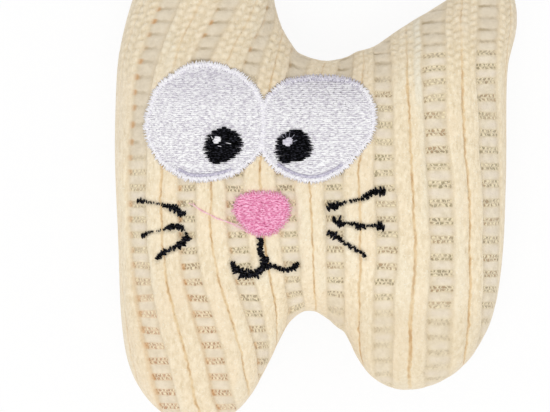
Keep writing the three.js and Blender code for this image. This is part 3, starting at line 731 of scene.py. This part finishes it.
LOWEST = 0.0001
UNDER_STITCHES = 0.00015
SEAM_SINK = 0.0008
mesh = skin.data
points = rows_of(mesh.vertices, "co")
normals = rows_of(mesh.vertex_normals, "vector")
points[:, 2] = np.maximum(points[:, 2], LOWEST + 0.05 * (points[:, 2] - LOWEST))
rib, course, row = knit_places(points, normals)
front = normals[:, 2] > 0
level = np.abs(normals[:, 2])
seam_away = np.abs(points[:, 2] - seam_height)
press = np.where(front, pressed(points[:, :2]), 0)
rise, crease = relief(rib, course, row)
rise = rise * (0.1 + 0.9 * step(0.2, 0.75, level))
rise = rise * (1 - press) - UNDER_STITCHES * press
rise = rise - SEAM_SINK * (1 - step(0.0001, 0.0014, seam_away))
rise = np.where(front, rise, rise * step(0.0, 0.0012, points[:, 2]))
points += normals * rise[:, None]
mesh.vertices.foreach_set("co", points.ravel())
mesh.update()

corner_points = np.empty(len(mesh.loops), int)
mesh.loops.foreach_get("vertex_index", corner_points)
knit_map = mesh.uv_layers.new(name="knit")
knit_map.data.foreach_set("uv", np.column_stack([rib, course])[corner_points].ravel())
smooth_normals = mesh.attributes.new("smooth_normal", "FLOAT_VECTOR", "POINT")
smooth_normals.data.foreach_set("vector", rows_of(mesh.vertex_normals, "vector").ravel())
for name, values in (("crease", crease), ("level", step(0.1, 0.4, level)),
                     ("near_seam", 1 - step(0.0002, 0.0011, seam_away))):
    mesh.attributes.new(name, "FLOAT", "POINT").data.foreach_set("value", values)

knit, tree, shader = new_material("cream_knit", roughness=0.95, sheen=0.25)
shader.inputs["Specular IOR Level"].default_value = 0.15


def maths(operation, *values):
    """A sum on shader values and plain numbers."""
    node = tree.nodes.new("ShaderNodeMath")
    node.operation = operation
    for socket, value in zip(node.inputs, values):
        if isinstance(value, (int, float)):
            socket.default_value = value
        else:
            tree.links.new(value, socket)
    return node.outputs[0]


def times(first, *others):
    for other in others:
        first = maths("MULTIPLY", first, other)
    return first


def without(value, share=1.0):
    """1, less a share of a value."""
    return maths("SUBTRACT", 1.0, times(value, share))


def from_whole(value):
    """How far a value lies from the nearest whole number, from -0.5 to 0.5."""
    return maths("SUBTRACT", maths("FRACT", maths("ADD", value, 0.5)), 0.5)


def shaken(scale, amount, detail=2.0):
    """Noise about 0."""
    return times(maths("SUBTRACT", noise(tree, scale, detail=detail), 0.5), amount)


def stepped(value, low, high):
    """Smooth step of a value, from 0 at the first place to 1 at the second."""
    node = tree.nodes.new("ShaderNodeMapRange")
    node.interpolation_type = "SMOOTHSTEP"
    tree.links.new(value, node.inputs["Value"])
    node.inputs["From Min"].default_value = low
    node.inputs["From Max"].default_value = high
    return node.outputs["Result"]


def near(value, middle, far, close):
    """1 at a middle value and up to a close distance from it, 0 past a far one."""
    return stepped(maths("ABSOLUTE", maths("SUBTRACT", value, middle)), far, close)


def mixed(share, first, second):
    node = tree.nodes.new("ShaderNodeMix")
    node.data_type = "RGBA"
    sockets = node.inputs["Factor"], node.inputs[6], node.inputs[7]
    for socket, value in zip(sockets, (share, first, second)):
        if isinstance(value, (int, float, tuple)):
            socket.default_value = value
        else:
            tree.links.new(value, socket)
    return node.outputs[2]


def tinted(colour, *tints):
    """A colour with tints laid over it in turn: where each shows, how strongly, and its own colour."""
    for place, strength, tint in tints:
        colour = mixed(times(place, strength), colour, tint)
    return colour


def stored(name):
    node = tree.nodes.new("ShaderNodeAttribute")
    node.attribute_name = name
    return node.outputs["Fac"]


# Places on the skin, by the numbers of ribs and courses
knit_uv = tree.nodes.new("ShaderNodeUVMap")
knit_uv.uv_map = "knit"
split = tree.nodes.new("ShaderNodeSeparateXYZ")
tree.links.new(knit_uv.outputs["UV"], split.inputs["Vector"])
rib_number, course_number = split.outputs["X"], split.outputs["Y"]
rib_place, course_place = from_whole(rib_number), from_whole(course_number)
side = maths("ABSOLUTE", rib_place)
left_ladder = stepped(rib_number, 0.8, 0.4)
ear_course = maths("SUBTRACT", course_number, times(left_ladder, 5.0))
ear_course = maths("ADD", ear_course, times(stepped(rib_number, 5.2, 5.8), 1.6))
ear = stepped(ear_course, -9.5, -12.0)
in_body = without(ear)
left_leg = times(stepped(rib_number, *LEFT_LEG_RIBS), stepped(course_number, *LEFT_LEG_COURSES))
right_leg = times(stepped(rib_number, *RIGHT_LEG_RIBS), stepped(course_number, *RIGHT_LEG_COURSES))
ragged = shaken(900, 0.08)
wander = shaken(380, 0.11, detail=3.0)
in_ladder = times(stepped(side, LADDER_HALF + 0.03, LADDER_HALF - 0.03), stored("level"))
# Painted shade along the walls of the sunk ladders
ladder_wall_shade = near(side, LADDER_HALF - 0.02, 0.07, 0.0)

# Groove between the two wales of a rib, which wanders, opens and closes, and is bold on one rib
GROOVE_PLACE = 0.506
BOLD_RIB = 5.5
zigzag = times(maths("PINGPONG", times(course_number, 3.4), 1.0), 0.012)
groove_place = maths("ADD", rib_number, maths("ADD", times(wander, 0.5), zigzag))
groove_place = maths("ADD", groove_place, times(ragged, 0.5))
groove_away = maths("ABSOLUTE", maths("SUBTRACT", maths("FRACT", groove_place), GROOVE_PLACE))
bold_line = times(near(rib_number, BOLD_RIB, 0.3, 0.15), stepped(course_number, -5.0, 4.0))
groove_away = maths("SUBTRACT", groove_away, times(bold_line, 0.01))
open_groove = times(without(ear, 0.65), stepped(rib_number, -0.7, -0.2),
                    maths("ADD", 0.35, times(noise(tree, 65), 0.9)), stored("level"))
groove_band = times(stepped(groove_away, 0.036, 0.012), open_groove)
groove_core = times(stepped(groove_away, 0.022, 0.006), stepped(noise(tree, 300), 0.45, 0.6), open_groove)

# Two rows of needle holes with beads of yarn between them, at every course of a ladder; the dark of the holes
# is painted shade, tinted olive and tan like the yarn
HOLE_GAP = 0.077
HOLE_LINE = 0.108
RIB_PIXELS, COURSE_PIXELS = 52, 16
COURSE_IN_GAPS = 0.85 * COURSE_PIXELS / (RIB_PIXELS * HOLE_GAP)
hole_across = maths("ADD", maths("DIVIDE", rib_place, HOLE_GAP), times(noise(tree, 1300), 1.8))
hole_along = maths("ADD", times(course_place, COURSE_IN_GAPS), times(ragged, 9.0))
shaded_holes, beads = 0.0, 0.0
for offset, line in ((0.5, HOLE_LINE), (0.0, -HOLE_LINE)):
    along = maths("SUBTRACT", hole_along, line * COURSE_IN_GAPS)
    away = []
    for turn in (0.0, 0.5):
        across = maths("SUBTRACT", maths("FRACT", maths("ADD", hole_across, offset + turn)), 0.5)
        away.append(maths("SQRT", maths("ADD", maths("POWER", across, 2.0), maths("POWER", along, 2.0))))
    hole_away, bead_away = away
    shaded_holes = maths("MAXIMUM", shaded_holes, stepped(maths("ADD", hole_away, times(ragged, 9.0)), 0.38, 0.1))
    beads = maths("MAXIMUM", beads, stepped(bead_away, 0.42, 0.15))
in_strip = times(near(course_place, 0.0, 0.28, 0.18), in_body,
                 stepped(side, LADDER_HALF + 0.005, LADDER_HALF - 0.03), without(right_leg, 0.7), in_ladder)
open_strips = maths("MAXIMUM", stepped(rib_number, 0.3, 0.6), stepped(course_number, 1.0, 5.0))
patchy = times(stepped(noise(tree, 600), 0.25, 0.5), stepped(noise(tree, 110), 0.2, 0.55),
               maths("ADD", 0.5, times(open_strips, 0.5)))
shaded_holes = times(shaded_holes, in_strip, patchy)
beads = times(beads, in_strip)

# Painted shade in the slits between the rolled rungs of the ears (and faintly of the right leg), tan left ends
# of the rungs, and ticks in the plush
slit_shade = times(near(maths("ADD", course_place, times(ragged, 3.0)), 0.0, 0.19, 0.03),
             maths("MAXIMUM", ear, times(right_leg, 0.4)),
             stepped(side, LADDER_HALF + 0.01, LADDER_HALF - 0.03),
             maths("ADD", 0.35, times(stepped(rib_place, LADDER_HALF, -LADDER_HALF), 0.65)),
             in_ladder, stepped(noise(tree, 420), 0.25, 0.6), without(left_ladder, 0.35))
left_end = times(stepped(maths("ADD", rib_place, wander), -0.09, -0.17), in_ladder,
                 near(maths("ADD", course_place, ragged), 0.0, 0.26, 0.12),
                 stepped(noise(tree, 200), 0.68, 0.42), stepped(rib_number, 4.5, 0.5))
left_line = times(near(rib_place, -LADDER_HALF, 0.05, 0.01), left_leg)
tick = times(stepped(noise(tree, 1500, (1, 0.35, 1)), 0.6, 0.7), near(side, WALE_MIDDLE, 0.13, 0.07))

# Colours of the plush, the rungs and all that marks them, with painted shade on the ears, in the creases, along
# the ladder walls, in the slits and in the holes
PALE_WALE = 5.72
pale_wale = times(near(rib_number, PALE_WALE, 0.1, 0.05), stepped(course_number, -8.0, -10.0),
                  stepped(course_number, -17.0, -15.0))
plush = tinted(
    ramp(tree, noise(tree, 1400, (1, 0.45, 1), 4.0), (0.34, shade(235, 217, 184)),
         (0.66, shade(253, 238, 209))),
    (stepped(noise(tree, 70), 0.45, 0.65), 0.4, shade(250, 231, 201)),
    (stepped(noise(tree, 190, (1, 0.2, 1)), 0.5, 0.7), 0.35, shade(245, 237, 215)),
    (pale_wale, 0.6, shade(244, 240, 224)),
    (stepped(noise(tree, 2900, detail=1.0), 0.62, 0.7), 0.6, shade(255, 249, 232)))
rung_middle = times(stepped(maths("ADD", maths("ABSOLUTE", course_place), ragged), 0.22, 0.48), in_body,
                    stepped(noise(tree, 330), 0.3, 0.6), maths("SUBTRACT", 0.6, times(left_leg, 0.3)))
rung = tinted(
    ramp(tree, noise(tree, 700), (0.35, shade(226, 212, 186)), (0.65, shade(242, 229, 204))),
    # painted shade: the rungs of the ears are darker
    (ear, 0.3, shade(208, 191, 164)),
    (rung_middle, 1.0, shade(237, 224, 207)))
hole_shade_colour = tinted(
    ramp(tree, noise(tree, 150), (0.36, shade(128, 120, 62)), (0.5, shade(104, 90, 58)),
         (0.64, shade(160, 112, 66))),
    (left_leg, 0.85, shade(186, 110, 66)))
groove_colour = ramp(tree, noise(tree, 160), (0.35, shade(222, 184, 126)), (0.65, shade(234, 206, 158)))
strip_colour = mixed(left_leg, shade(214, 191, 148), shade(228, 176, 126))
colour = tinted(
    mixed(in_ladder, plush, rung),
    # painted shade: the ears are greyer, as they turn away from the light
    (ear, 0.18, shade(219, 210, 198)),
    (right_leg, 0.3, shade(221, 204, 174)),
    (left_leg, 0.16, shade(226, 202, 172)),
    # painted shade in the creases between the stitches of the plush
    (stored("crease"), 0.55, shade(204, 184, 146)),
    (tick, 0.4, shade(216, 196, 158)),
    # painted shade along the ladder walls
    (ladder_wall_shade, 0.3, shade(214, 194, 158)),
    (groove_band, 0.75, groove_colour),
    (groove_core, 0.55, shade(184, 134, 80)),
    (in_strip, 0.34, strip_colour),
    (left_line, 0.25, shade(224, 182, 128)),
    (beads, 0.7, shade(251, 237, 200)),
    # painted shade in the slits between the rolled rungs
    (slit_shade, 0.65, shade(152, 130, 88)),
    # needle holes: painted shade in the holes, with the olive and tan of the yarn
    (shaded_holes, 0.58, hole_shade_colour),
    (left_end, 0.6, shade(208, 148, 84)),
    (stored("near_seam"), 0.35, shade(200, 180, 144)))
tree.links.new(colour, shader.inputs["Base Color"])
lumps = maths("ADD", times(noise(tree, 1700, detail=4.0), 2.0), times(beads, 0.8))
bumped(tree, shader, maths("SUBTRACT", lumps, times(shaded_holes, 0.9)), distance=0.00014, strength=0.9)

mesh.materials.clear()
mesh.materials.append(knit)
select_only(skin)
bpy.ops.object.shade_smooth()


def keep_faces(mesh, kept):
    """Deletes the other faces of a mesh."""
    cut = bmesh.new()
    cut.from_mesh(mesh)
    cut.faces.ensure_lookup_table()
    bmesh.ops.delete(cut, geom=[cut.faces[k] for k in np.nonzero(~kept)[0]], context="FACES")
    cut.to_mesh(mesh)
    cut.free()


roots = {joint["child"]: Vector(joint["pos_m"]) for joint in frame["joints"]}
middle_line = (roots["left_ear"].x + roots["right_ear"].x) / 2
faces = rows_of(mesh.polygons, "center")
in_body_piece = np.ones(len(faces), bool)
lobes = []
for lobe, root in roots.items():
    outward = 1 if lobe.endswith("ear") else -1
    in_lobe = (faces[:, 1] - root.y) * outward > 0
    in_lobe &= (faces[:, 0] < middle_line) == lobe.startswith("left")
    in_body_piece &= ~in_lobe
    piece = bpy.data.objects.new("knit_" + lobe, mesh.copy())
    scene.collection.objects.link(piece)
    keep_faces(piece.data, in_lobe)
    lobes.append((lobe, root, outward, piece))
keep_faces(mesh, in_body_piece)
skin.name = "knit_body"
for piece in [skin] + [entry[-1] for entry in lobes]:
    kept_normals = piece.data.attributes["smooth_normal"]
    rows = rows_of(kept_normals.data, "vector")
    piece.data.attributes.remove(kept_normals)
    piece.data.normals_split_custom_set_from_vertices(rows.tolist())
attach(skin, "body")
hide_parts("front_knit_body", "back_knit_body")
for lobe, root, outward, piece in lobes:
    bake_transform(piece)
    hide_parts("front_knit_" + lobe, "back_knit_" + lobe)

# Inside pieces
# White fibre filling, a charge of dried leaf and the sewing thread of the seam stay as the frame has
# them, out of sight under the knit.
filling, tree, shader = new_material("white_fibre", roughness=1.0, sheen=0.4)
tone = ramp(tree, noise(tree, 500, (1, 0.3, 1), 5.0), (0.3, shade(228, 227, 222)), (0.7, shade(250, 249, 246)))
tree.links.new(tone, shader.inputs["Base Color"])
bumped(tree, shader, noise(tree, 1500, (1, 0.3, 1), 4.0), distance=0.0004)
leaf, tree, shader = new_material("dried_leaf", roughness=0.95, sheen=0.1)
tone = ramp(tree, noise(tree, 900, detail=4.0), (0.3, shade(92, 96, 58)), (0.7, shade(150, 152, 104)))
tree.links.new(tone, shader.inputs["Base Color"])
bumped(tree, shader, noise(tree, 1200, detail=4.0), distance=0.0006)
cream_thread = thread_material("cream_thread", shade(222, 206, 172), shade(240, 226, 196), roughness=0.6,
                               gloss=0.3)
inner = {"filling": filling, "catnip": leaf, "seam": cream_thread}
for name, node in frame["nodes"].items():
    for word, material in inner.items():
        if word in name:
            node.data.materials.clear()
            node.data.materials.append(material)

# Floor and light
# A plain white floor under the toy, an even white sky, and one large soft lamp from the side of the legs.
FLOOR_HALF = 3
FLOOR_GLOW = 0.91
SKY_STRENGTH = 0.78
LAMP_WATTS = 2.2
LAMP_SIZE = 0.5
LAMP_PLACE = (-0.06, -0.32, 0.86)
LAMP_TARGET = Vector((0, 0, 0.02))
floor_mesh = bpy.data.meshes.new("floor")
floor_corners = [(FLOOR_HALF * x, FLOOR_HALF * y, 0) for x, y in ((-1, -1), (1, -1), (1, 1), (-1, 1))]
floor_mesh.from_pydata(floor_corners, [], [(0, 1, 2, 3)])
floor = bpy.data.objects.new("floor", floor_mesh)
scene.collection.objects.link(floor)
white, tree, shader = new_material("white_floor", roughness=0.9, sheen=0.0)
shader.inputs["Base Color"].default_value = shade(252, 252, 252)
floor_mesh.materials.append(white)


def plainly_seen(tree):
    """1 for rays that look straight at a backdrop, in a mirror or through glass."""
    rays = tree.nodes.new("ShaderNodeLightPath")
    seen = rays.outputs["Is Camera Ray"]
    for kind in ("Is Glossy Ray", "Is Transmission Ray"):
        either = tree.nodes.new("ShaderNodeMath")
        either.operation = "MAXIMUM"
        tree.links.new(seen, either.inputs[0])
        tree.links.new(rays.outputs[kind], either.inputs[1])
        seen = either.outputs[0]
    return seen


paper = tree.nodes.new("ShaderNodeEmission")
share = tree.nodes.new("ShaderNodeMath")
share.operation = "MULTIPLY"
share.inputs[1].default_value = FLOOR_GLOW
cover = tree.nodes.new("ShaderNodeMixShader")
tree.links.new(plainly_seen(tree), share.inputs[0])
tree.links.new(share.outputs[0], cover.inputs["Fac"])
tree.links.new(shader.outputs["BSDF"], cover.inputs[1])
tree.links.new(paper.outputs["Emission"], cover.inputs[2])
tree.links.new(cover.outputs["Shader"], tree.nodes["Material Output"].inputs["Surface"])

world = bpy.data.worlds.new("sky")
scene.world = world
world.use_nodes = True
tree = world.node_tree
tree.nodes.clear()
sky = tree.nodes.new("ShaderNodeBackground")
sky.inputs["Strength"].default_value = SKY_STRENGTH
backdrop = tree.nodes.new("ShaderNodeBackground")
for background in (sky, backdrop):
    background.inputs["Color"].default_value = (1, 1, 1, 1)
either = tree.nodes.new("ShaderNodeMixShader")
output = tree.nodes.new("ShaderNodeOutputWorld")
tree.links.new(plainly_seen(tree), either.inputs["Fac"])
tree.links.new(sky.outputs["Background"], either.inputs[1])
tree.links.new(backdrop.outputs["Background"], either.inputs[2])
tree.links.new(either.outputs["Shader"], output.inputs["Surface"])

lamp_data = bpy.data.lights.new("soft_lamp", "AREA")
lamp_data.shape = "DISK"
lamp_data.size = LAMP_SIZE
lamp_data.energy = LAMP_WATTS
lamp = bpy.data.objects.new("soft_lamp", lamp_data)
scene.collection.objects.link(lamp)
lamp.location = LAMP_PLACE
lamp.rotation_euler = (LAMP_TARGET - lamp.location).to_track_quat("-Z", "Y").to_euler()
